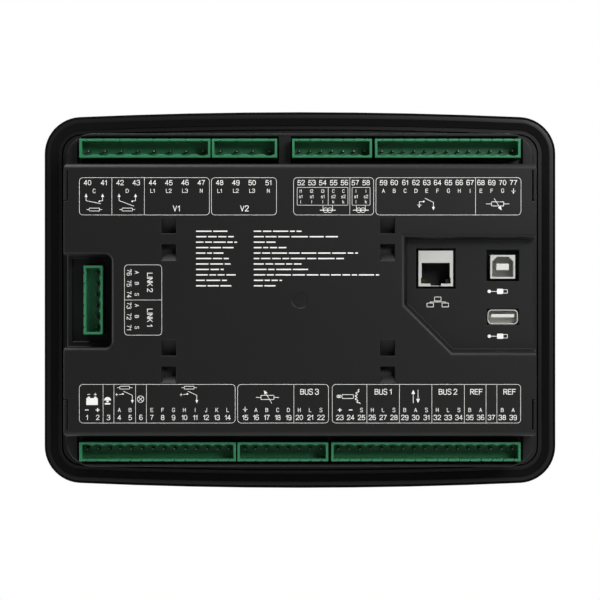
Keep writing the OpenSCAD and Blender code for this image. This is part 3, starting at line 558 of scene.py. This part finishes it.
def lens_pair():
    """Polycarbonate lenses, moulded clear and tinted, unlit: amber on one side of the socket's middle and
    green on the other, chosen by whether the place lies past the middle."""
    material, tree = empty_material("polycarbonate_tinted")
    low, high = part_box("network_shell")
    place = add(tree, "ShaderNodeTexCoord").outputs["Object"]
    across = add(tree, "ShaderNodeSeparateXYZ", (), {"Vector": place}).outputs["X"]
    right = add(tree, "ShaderNodeMath", {1: (low.x + high.x) / 2}, {0: across}, operation="GREATER_THAN")
    tint = add(tree, "ShaderNodeMix", {"A": linear("#3a3315"), "B": linear("#1b3320")},
               {"Factor": right.outputs["Value"]}, data_type="RGBA")
    grain = add(tree, "ShaderNodeTexNoise", {"Scale": 1 / (0.8 * MM)}, {"Vector": place})
    bump = add(tree, "ShaderNodeBump", {"Distance": 0.004 * MM}, {"Height": grain.outputs["Fac"]})
    surface = add(tree, "ShaderNodeBsdfPrincipled", {
        "Roughness": 0.2, "Transmission Weight": 0.3, "IOR": 1.58}, {
        "Base Color": tint.outputs["Result"], "Normal": bump.outputs["Normal"]})
    add(tree, "ShaderNodeOutputMaterial", (), {"Surface": surface.outputs["BSDF"]})
    return material


class DressInner(bpy.types.Operator):
    """Gives the boards and the parts on them their finishes"""
    bl_idname = "controller.dress_inner"
    bl_label = "Boards and inner parts"

    def execute(self, context):
        # Glass-epoxy laminate under solder mask: green, glossy, mottled by the copper beneath.
        wear_finish("board_laminate", moulded(
            "laminate_solder_mask", linear("#1d5a38"), rough=0.3, grain=1.2, relief=0.01, blotch=0.3))
        # Steel, zinc plated: a pale, slightly clouded metal.
        wear_finish("screw_steel", moulded(
            "steel_zinc_plated", linear("#b9bcc0"), rough=0.35, grain=0.5, relief=0.004, blotch=0.1,
            Metallic=1.0))
        # Epoxy, transfer moulded: charcoal with a fine dull grain.
        wear_finish("package_black", moulded(
            "epoxy_transfer_moulded", linear("#1f2022"), rough=0.6, grain=0.3, relief=0.008, blotch=0.15))
        # Enamelled copper wound on ferrite: brown, with the ripple of the winding.
        wear_finish("ring_core", moulded(
            "ferrite_wound", linear("#4a2f22"), rough=0.4, grain=0.9, relief=0.08, blotch=0.2,
            stretch=(1, 0.2, 1)))
        # PVC sleeve, shrunk on: dark, glossy, slightly puckered.
        wear_finish("can_sleeve", moulded(
            "vinyl_shrunk", linear("#22242c"), rough=0.25, grain=1.5, relief=0.02, blotch=0.1))
        # Steel, nickel plated and rolled: a bright can.
        wear_finish("cell_steel", moulded(
            "steel_nickel_rolled", linear("#c7cacd"), rough=0.25, grain=0.3, relief=0.003, blotch=0.06,
            Metallic=1.0))
        for slot in ("package_black", "ring_core", "can_sleeve", "cell_steel", "screw_steel", "socket_black"):
            for node in of_slot(slot):
                smooth(node)
        return {"FINISHED"}


class DressFront(bpy.types.Operator):
    """Gives the display, the keys and the status lights their finishes"""
    bl_idname = "controller.dress_front"
    bl_label = "Operator front"

    def execute(self, context):
        # Steel sheet, folded and left mill bright: a grey metal with lines along the rolling.
        wear_finish("display_steel", moulded(
            "steel_mill_finish", linear("#8b8f93"), rough=0.4, grain=0.4, relief=0.004, blotch=0.08,
            stretch=(1, 1, 0.1), Metallic=1.0))
        # Liquid-crystal cell with its polariser, switched off: grey-green, glossy over a faint pixel mottle.
        wear_finish("display_glass", moulded(
            "liquid_crystal_cell", linear("#5d6c63"), rough=0.2, grain=0.6, relief=0.001, blotch=0.04))
        wear_finish("window_acrylic", window_material())
        # Silicone rubber, compression moulded: dull, with a slight bloom.
        for slot, name, colour in (
                ("keypad_silicone", "mat", linear("#3c3f44")), ("key_red", "red", finishes().stop),
                ("key_green", "green", finishes().start), ("key_grey", "grey", finishes().key)):
            wear_finish(slot, moulded(
                f"silicone_moulded_{name}", colour, rough=0.55, grain=0.5, relief=0.008, blotch=0.08,
                IOR=1.41))
        # Acrylic, moulded clear: a rod that takes its tone from what lies behind it.
        wear_finish("guide_acrylic", moulded(
            "acrylic_clear", linear("#e4e8e6"), rough=0.12, grain=1.0, relief=0.002, blotch=0.03, IOR=1.49,
            **{"Transmission Weight": 0.8}))
        # Resin over the light-emitting chip: milky and pale yellow.
        wear_finish("led_resin", moulded(
            "epoxy_cast_milky", linear("#e6d9a0"), rough=0.3, grain=0.5, relief=0.004, blotch=0.05))
        for slot in ("key_red", "key_green", "key_grey", "guide_acrylic"):
            for node in of_slot(slot):
                smooth(node)
        return {"FINISHED"}


# Width of the black border printed on the display window
WINDOW_BORDER = 6 * MM


def window_material():
    """Acrylic sheet, hard coated and printed black on its back along the edge: clear in the middle, and black
    where the distance from the middle, across or up, comes nearer to the edge than the border's width."""
    material, tree = empty_material("acrylic_hard_coated")
    low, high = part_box("display_window")
    middle, half = (low + high) / 2, (high - low) / 2
    place = add(tree, "ShaderNodeTexCoord").outputs["Object"]
    part = add(tree, "ShaderNodeSeparateXYZ", (), {"Vector": place})
    ends = []
    for axis, letter in ((0, "X"), (2, "Z")):
        away = add(tree, "ShaderNodeMath", {1: middle[axis]}, {0: part.outputs[letter]}, operation="SUBTRACT")
        size = add(tree, "ShaderNodeMath", (), {0: away.outputs["Value"]}, operation="ABSOLUTE")
        past = add(tree, "ShaderNodeMath", {1: half[axis] - WINDOW_BORDER}, {0: size.outputs["Value"]},
                   operation="SUBTRACT")
        ends.append(past.outputs["Value"])
    edge = add(tree, "ShaderNodeMath", (), {0: ends[0], 1: ends[1]}, operation="MAXIMUM")
    black = add(tree, "ShaderNodeMath", {1: 0.0}, {0: edge.outputs["Value"]}, operation="GREATER_THAN")
    tint = add(tree, "ShaderNodeMix", {"A": linear("#dfe6e2"), "B": linear("#0b0b0c")},
               {"Factor": black.outputs["Value"]}, data_type="RGBA")
    surface = add(tree, "ShaderNodeBsdfPrincipled", {
        "Roughness": 0.06, "Transmission Weight": 0.85, "IOR": 1.49}, {"Base Color": tint.outputs["Result"]})
    add(tree, "ShaderNodeOutputMaterial", (), {"Surface": surface.outputs["BSDF"]})
    return material


class PrintFrames(bpy.types.Operator):
    """Prints the thin frame of each header's terminals on the cover"""
    bl_idname = "controller.print_frames"
    bl_label = "Terminal frames"

    def execute(self, context):
        ink = Print(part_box("rear_case")[0].y, -1)
        thin = sizes().frame / MM
        for header, (numbers, _, groups, lean) in ROWS.items():
            places, first, last = ways(header, len(numbers), lean)
            bounds = [(places[i - 1] + places[i]) / 2 for i in np.cumsum(groups)[:-1]]
            if header.startswith("side"):
                ink.line(rounded(SIDE_NEAR, first, SIDE_FAR, last, CORNER), thin, closed=True)
                for z in bounds:
                    ink.line([(SIDE_NEAR, z), (SIDE_FAR, z)], thin)
                continue
            low, high = FRAMES[header.split("_")[0]]
            ink.line(rounded(first, low, last, high, CORNER), thin, closed=True)
            for x in bounds:
                ink.line([(x, low), (x, high)], thin)
        for x0, x1 in INNER_BOXES:
            ink.line(rounded(x0, INNER_FOOT, x1, INNER_TOP, INNER_CORNER), thin, closed=True)
        ink.line([(INNER_SPLIT, INNER_FOOT), (INNER_SPLIT, INNER_TOP)], thin)
        ink.piece("terminal_frames", "controller", ink_material())
        return {"FINISHED"}


class PrintNumbers(bpy.types.Operator):
    """Prints the terminal numbers and letters on the cover"""
    bl_idname = "controller.print_numbers"
    bl_label = "Terminal numbers"

    def execute(self, context):
        ink = Print(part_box("rear_case")[0].y, -1)
        high = sizes().digit / MM
        for header, (numbers, letters, _, lean) in ROWS.items():
            places, _, _ = ways(header, len(numbers), lean)
            for i, (number, letter) in enumerate(zip(numbers, letters)):
                if header.startswith("side"):
                    spots, turn = [(x, places[-1 - i]) for x in SIDE_LINES], -1
                else:
                    spots, turn = [(places[i], z) for z in LINES[header.split("_")[0]]], 0
                ink.words(number, spots[0], high * (SIDE_SHARE if turn else 1), turn)
                if letter in ("-", "+"):
                    x, z = spots[1]
                    ink.line([(x - SIGN_REACH, z), (x + SIGN_REACH, z)], SIGN_WIDTH)
                    if letter == "+":
                        ink.line([(x, z - SIGN_REACH), (x, z + SIGN_REACH)], SIGN_WIDTH)
                elif letter:
                    ink.words(letter, spots[1], high * LETTER_SHARE, turn)
        for word, at, share, turn in WORDS:
            ink.words(word, at, high * share, turn)
        for x, names in INNER_WORDS:
            for name, z in zip(names, INNER_LINES):
                ink.words(name, (x, z), INNER_HEIGHT, 0, INNER_WEIGHT)
        ink.piece("terminal_numbers", "controller", ink_material())
        return {"FINISHED"}


def fuse(ink, x0, x1, z, box, tall):
    """A line with a box in it."""
    ink.line([(x0, z), ((x0 + x1 - box) / 2, z)])
    ink.line([((x0 + x1 + box) / 2, z), (x1, z)])
    middle = (x0 + x1) / 2
    ink.line(rounded(middle - box / 2, z - tall / 2, middle + box / 2, z + tall / 2, 0.2, 3), closed=True)


def arrow(ink, tail, tip, size=1.5):
    """A line that ends in a filled head, and stops inside it."""
    tip, tail = np.asarray(tip, float), np.asarray(tail, float)
    along = (tip - tail) / np.linalg.norm(tip - tail)
    ink.line([tail, tip - along * size * HEAD_SHORT])
    ink.area(arrow_head(tip, tail, size))


def earth(ink, x, z):
    """A stem, a bar and a filled head that points down."""
    ink.line([(x, z + 1.3), (x, z)])
    ink.line([(x - 1.0, z), (x + 1.0, z)])
    ink.area(arrow_head((x, z - 1.3), (x, z + 1), 0.9))


def bar(ink, x0, z0, x1, z1):
    """A filled rectangle."""
    ink.area([(x0, z0), (x1, z0), (x1, z1), (x0, z1)])


# Radius of a contact's dot, and height of the box of a fuse at a switch
DOT = 0.4
FUSE_TALL = 1.3


def dot(ink, x, z):
    """A filled contact."""
    ink.area(ring(x, z, DOT, 10))


def relay(ink, x0, x1, end):
    """A relay contact over a fuse: two arrows up, and a blade from the foot of the first to an end."""
    foot, tip = 45.8, 49.0
    arrow(ink, (x0, foot), (x0, tip))
    ink.line([(x0, foot), end])
    arrow(ink, (x1, foot), (x1, tip))
    ink.line([(x1 + 0.2, foot), (x1 - 1.6, 45.6)])
    dot(ink, x1 - 1.5, 45.5)
    fuse(ink, x0 + 0.2, x1 - 0.2, 41.7, 4.8, FUSE_TALL)


def transformer(ink, x0, x1):
    """A current transformer: a line through two rings, each with a lead up to the box above."""
    middle, z = (x0 + x1) / 2, 41.4
    thin = 0.2
    ink.line([(middle - 3.6, z), (middle + 3.6, z)], 0.34)
    for x, lead in ((middle - 0.95, x0), (middle + 0.95, x1)):
        ink.line(ring(x, z, 1.1, 16), thin, closed=True)
        ink.line([(lead, INNER_FOOT), (lead, z)], thin)


def battery(ink):
    """A filled battery with two poles, under a minus and a plus."""
    ink.area([(-98.5, -48.4), (-93.2, -48.4), (-93.2, -45.2), (-93.8, -45.2), (-93.8, -44.6), (-94.9, -44.6),
              (-94.9, -45.2), (-96.8, -45.2), (-96.8, -44.6), (-97.9, -44.6), (-97.9, -45.2), (-98.5, -45.2)])
    ink.line([(-98.0, -43.5), (-96.7, -43.5)])
    ink.line([(-95.0, -43.5), (-93.7, -43.5)])
    ink.line([(-94.35, -42.85), (-94.35, -44.15)])


def output(ink, x):
    """A switched output under a fuse: a plus, a contact, a blade and an arrow down."""
    fuse(ink, x - 3.5, x + 3.5, -40.4, 4.5, FUSE_TALL)
    ink.line([(x - 4.3, -43.6), (x - 3.1, -43.6)])
    ink.line([(x - 3.7, -43.0), (x - 3.7, -44.2)])
    ink.line([(x - 2.7, -43.6), (x - 0.9, -43.4)])
    dot(ink, x - 0.8, -43.3)
    ink.line([(x - 0.6, -42.0), (x + 3.5, -43.9), (x + 3.5, -44.5)])
    arrow(ink, (x + 3.5, -44.3), (x + 3.5, -47.6))


def pick_up(ink):
    """A speed pick-up with two rings of its lead, beside a toothed wheel: an arc whose radius goes up and
    down with the sine of the angle, drawn towards square teeth by its root."""
    ink.line(rounded(19.4, -45.4, 24.6, -43.6, 0.3, 3), closed=True)
    for x in (17.6, 18.4):
        ink.line(ring(x, -44.4, 0.55, 12), 0.3, closed=True)
    turn = np.linspace(-0.62, 0.62, 40)
    wave = np.sin(turn * 25)
    reach = 9.2 + 0.45 * np.sign(wave) * np.abs(wave) ** 0.5
    ink.line(np.column_stack([35.0 - reach * np.cos(turn), -44.6 + reach * np.sin(turn) * 0.62]), 0.32)


class PrintSymbols(bpy.types.Operator):
    """Prints the plain circuit symbols inside the terminal frames"""
    bl_idname = "controller.print_symbols"
    bl_label = "Terminal symbols"

    def execute(self, context):
        ink = Print(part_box("rear_case")[0].y, -1)
        relay(ink, -98.6, -91.0, (-91.8, 44.4))
        relay(ink, -83.4, -75.8, (-76.6, 43.3))
        transformer(ink, 10.6, 15.0)
        transformer(ink, 26.0, 30.1)
        # Switched input to earth
        earth(ink, 55.0, 43.8)
        ink.line([(55.0, 45.0), (55.0, 45.3), (56.9, 45.3)])
        dot(ink, 57.0, 45.4)
        ink.line([(57.6, 46.9), (61.5, 45.0), (61.5, 44.4)])
        arrow(ink, (61.5, 44.6), (61.5, 41.4))
        # Earth signs where one way above and one below have no letter, and variable resistors
        earth(ink, ways("top_header_13", 13, ROWS["top_header_13"][3])[0][-1], 50.2)
        earth(ink, ways("bottom_header_8", 8, ROWS["bottom_header_8"][3])[0][0], -50.4)
        fuse(ink, 85.7, 96.5, 44.3, 5.6, 1.9)
        arrow(ink, (89.5, 46.8), (92.9, 41.4), 1.8)
        fuse(ink, -20.3, -9.7, -44.9, 6.0, 1.9)
        arrow(ink, (-13.0, -47.6), (-16.6, -41.6), 1.8)
        battery(ink)
        # Stop button: half a disc on a stem and a foot
        ink.area(ring(-88.7, -46.3, 1.6, 20)[:11])
        bar(ink, -89.2, -47.2, -88.2, -46.4)
        bar(ink, -90.0, -48.2, -87.4, -47.5)
        # Charge lamp
        ink.line(ring(-73.5, -45.7, 1.5, 20), closed=True)
        for slant in (-1, 1):
            ink.line([(-74.5, -45.7 - slant), (-72.5, -45.7 + slant)])
        output(ink, -80.8)
        output(ink, -51.1)
        pick_up(ink)
        # Data both ways
        arrow(ink, (52.2, -47.5), (52.2, -41.4), 1.9)
        arrow(ink, (54.4, -41.4), (54.4, -47.5), 1.9)
        ink.piece("terminal_symbols", "controller", ink_material())
        return {"FINISHED"}


# Ruled lines: height of the first, spacing, half thickness, starts of the short and the long line of a row
RULED_TOP, RULED_SPACING, RULED_HALF = 31.7, 2.515, 0.28
SHORT_START, LONG_START = -47.9, -21.3
# Least length and spread of a short line and of a dash, the gap between dashes, the seed of the spread, and
# lengths of the long lines
SHORT_LEAST, SHORT_SPREAD = 11, 8
DASH_LEAST, DASH_SPREAD, DASH_GAP = 2.2, 5.5, 0.8
DASH_SEED = 7
LONG_RUNS = (22, 40, 10, 15, 48, 41.5, 22, 25, 57.8, 13, 10)


class PrintNotes(bpy.types.Operator):
    """Prints the plain ruled lines in the middle of the cover and the marks beside the sockets"""
    bl_idname = "controller.print_notes"
    bl_label = "Ruled lines and socket marks"

    def execute(self, context):
        ink = Print(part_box("rear_case")[0].y, -1)
        # Ruled lines: a short one and a long one in each row, broken into dashes
        rng = np.random.default_rng(DASH_SEED)
        for row, run in enumerate(LONG_RUNS):
            z = RULED_TOP - row * RULED_SPACING
            for start, size in ((SHORT_START, SHORT_LEAST + SHORT_SPREAD * rng.random()), (LONG_START, run)):
                x = start
                while x < start + size - 1:
                    dash = min(DASH_LEAST + DASH_SPREAD * rng.random(), start + size - x)
                    bar(ink, x, z - RULED_HALF, x + dash, z + RULED_HALF)
                    x += dash + DASH_GAP
        ink.piece("ruled_lines", "controller", ink_material())
        marks = Print(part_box("network_shell")[0].y, -1)
        # Three linked boxes, for a network
        for x, z in ((63.9, 0.5), (60.4, -2.3), (67.4, -2.3)):
            marks.line(rounded(x - 1.5, z - 0.9, x + 1.5, z + 0.9, 0.1, 2), closed=True)
        marks.line([(60.4, -1.4), (60.4, -0.9), (67.4, -0.9), (67.4, -1.4)])
        marks.line([(63.9, -0.4), (63.9, -0.9)])
        # A plug on a lead, for each serial socket
        for z in (4.0, -16.8):
            marks.line([(87.6, z), (91.6, z)])
            marks.area(rounded(91.4, z - 1.2, 94.2, z + 1.2, 0.3, 3))
            marks.line(rounded(94.2, z - 0.8, 96.2, z + 0.8, 0.1, 2), closed=True)
            marks.area(ring(87.8, z, 0.8, 14))
        marks.piece("socket_marks", "controller", ink_material())
        return {"FINISHED"}


# Keys that carry a letter or point a way, the height of such a letter, and the width of a sign's line
KEY_LETTERS = {"manual_key": "M", "auto_key": "A"}
KEY_WAYS = {"up_key": (0, 1), "down_key": (0, -1), "left_key": (-1, 0), "right_key": (1, 0)}
KEY_LETTER_HEIGHT = 4.5
KEY_LINE = 0.6


class PrintKeys(bpy.types.Operator):
    """Prints a plain sign on each key of the operator front"""
    bl_idname = "controller.print_keys"
    bl_label = "Key signs"

    def execute(self, context):
        for key in of_slot("key_red") + of_slot("key_green") + of_slot("key_grey"):
            low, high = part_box(key)
            x, z = -(low.x + high.x) / 2 / MM, (low.z + high.z) / 2 / MM
            ink = Print(high.y, 1)
            if key == "stop_key":
                ink.line(ring(x, z, 3.2, 32), 0.9, closed=True)
            elif key == "start_key":
                bar(ink, x - 0.5, z - 3.4, x + 0.5, z + 3.4)
            elif key in KEY_LETTERS:
                ink.words(KEY_LETTERS[key], (x, z), KEY_LETTER_HEIGHT)
            elif key == "mute_key":
                ink.area([(x - 3.2, z - 0.9), (x - 1.6, z - 0.9), (x, z - 2.4), (x, z + 2.4),
                          (x - 1.6, z + 0.9), (x - 3.2, z + 0.9)])
                for slant in (-1, 1):
                    ink.line([(x + 1.0, z - slant), (x + 3.0, z + slant)], KEY_LINE)
            elif key in ("close_key", "open_key"):
                ink.line([(x - 5, z), (x - 2, z)], KEY_LINE)
                ink.line([(x + 2, z), (x + 5, z)], KEY_LINE)
                end = (x + 2, z) if key == "close_key" else (x + 1.6, z + 2.4)
                ink.line([(x - 2, z), end], KEY_LINE)
            elif key == "enter_key":
                ink.line([(x - 2.4, z - 0.2), (x - 0.7, z - 1.8), (x + 2.4, z + 1.8)], 0.7)
            else:
                way = KEY_WAYS[key]
                ink.area(arrow_head((x + 1.8 * way[0], z + 1.8 * way[1]), (x, z), 3.4))
            name = key.removesuffix("_key")
            ink.piece(f"{name}_sign", f"{name}_button", ink_material())
        return {"FINISHED"}


# Camera: focal length and sensor width in millimetres, distance from the panel and nearest sight in metres
LENS, SENSOR = 123.4, 36
CAMERA_AWAY, CAMERA_NEAREST = 0.988, 0.01
# Floor: radius and height in metres, and how many sides its disc has
FLOOR_RADIUS, FLOOR_HEIGHT = 1.35, -0.35
FLOOR_SIDES = 64
# Level of the world's light on the object
FILL = 0.09
# Soft boxes: name, place, size and power. A near one stands to the right and a large one overhead, a weak one
# skims from the left, and one lights the operator's side, out of sight of the terminal side
LAMPS = (
    ("near", (0.44, -0.6, 0.38), 0.35, 5.9), ("overhead", (-0.3, -0.22, 0.95), 0.6, 12.5),
    ("skimming", (-0.6, -0.04, -0.05), 0.3, 2.0), ("operator", (0.2, 1.1, 0.3), 0.9, 11.0),
)


class SetStage(bpy.types.Operator):
    """Sets the floor, the soft studio light and the camera"""
    bl_idname = "controller.set_stage"
    bl_label = "Studio"

    def execute(self, context):
        scene = context.scene
        scene.view_settings.view_transform = "Standard"
        # Camera square on to the terminal side, as far off as the photograph's perspective shows
        camera = bpy.data.cameras.new("camera")
        camera.lens, camera.sensor_width, camera.clip_start = LENS, SENSOR, CAMERA_NEAREST
        seat = bpy.data.objects.new("camera", camera)
        seat.location, seat.rotation_euler = (0, -CAMERA_AWAY, 0), (np.pi / 2, 0, 0)
        scene.collection.objects.link(seat)
        scene.camera = seat
        # Floor: a pale disc well below the object, which hangs on its panel
        turn = np.arange(FLOOR_SIDES) * 2 * np.pi / FLOOR_SIDES
        edge = FLOOR_RADIUS * np.cos(turn), FLOOR_RADIUS * np.sin(turn), np.full(FLOOR_SIDES, FLOOR_HEIGHT)
        mesh = bpy.data.meshes.new("floor")
        mesh.from_pydata(np.column_stack(edge).tolist(), [], [list(range(FLOOR_SIDES))])
        # Painted board, matt: near white, and even
        mesh.materials.append(moulded(
            "paint_matt", linear("#ececea"), rough=0.8, grain=3.0, relief=0.02, blotch=0.02))
        floor = bpy.data.objects.new("floor", mesh)
        scene.collection.objects.link(floor)
        # World: white to the camera and through clear plastic, and a plain low level for the rest
        world = bpy.data.worlds.new("studio")
        world.use_nodes = True
        tree = world.node_tree
        tree.nodes.clear()
        path = add(tree, "ShaderNodeLightPath")
        seen = add(tree, "ShaderNodeMath", (), {
            0: path.outputs["Is Camera Ray"], 1: path.outputs["Is Transmission Ray"]}, operation="MAXIMUM")
        level = add(tree, "ShaderNodeMapRange", {"To Min": FILL, "To Max": 1.0},
                    {"Value": seen.outputs["Value"]})
        light = add(tree, "ShaderNodeBackground", {"Color": (1, 1, 1, 1)},
                    {"Strength": level.outputs["Result"]})
        add(tree, "ShaderNodeOutputWorld", (), {"Surface": light.outputs["Background"]})
        scene.world = world
        for name, place, size, power in LAMPS:
            lamp = bpy.data.lights.new(name, "AREA")
            lamp.energy, lamp.size = power, size
            box = bpy.data.objects.new(name, lamp)
            box.location = place
            box.rotation_euler = (-box.location).to_track_quat("-Z", "Y").to_euler()
            scene.collection.objects.link(box)
        return {"FINISHED"}


STEPS = (DressCase, DressBezel, DressHeaders, DressPorts, DressInner, DressFront, PrintFrames, PrintNumbers,
         PrintSymbols, PrintNotes, PrintKeys, SetStage)


class ControllerPanel(bpy.types.Panel):
    """Lists the controller's settings and steps"""
    bl_idname = "VIEW3D_PT_controller"
    bl_label = "Generator-set controller"
    bl_space_type = "VIEW_3D"
    bl_region_type = "UI"
    bl_category = "Controller"

    def draw(self, context):
        for settings in (finishes(), sizes()):
            for name in settings.__annotations__:
                self.layout.prop(settings, name)
        for step in STEPS:
            self.layout.operator(step.bl_idname)


CLASSES = (FinishSettings, SizeSettings, *STEPS, ControllerPanel)


def register():
    for made in CLASSES:
        bpy.utils.register_class(made)
    bpy.types.Scene.controller_finish = PointerProperty(type=FinishSettings)
    bpy.types.Scene.controller_size = PointerProperty(type=SizeSettings)


def unregister():
    del bpy.types.Scene.controller_size
    del bpy.types.Scene.controller_finish
    for made in reversed(CLASSES):
        bpy.utils.unregister_class(made)


def main():
    """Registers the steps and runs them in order."""
    register()
    for step in STEPS:
        group, name = step.bl_idname.split(".")
        getattr(getattr(bpy.ops, group), name)()


if __name__ == "__main__":
    main()
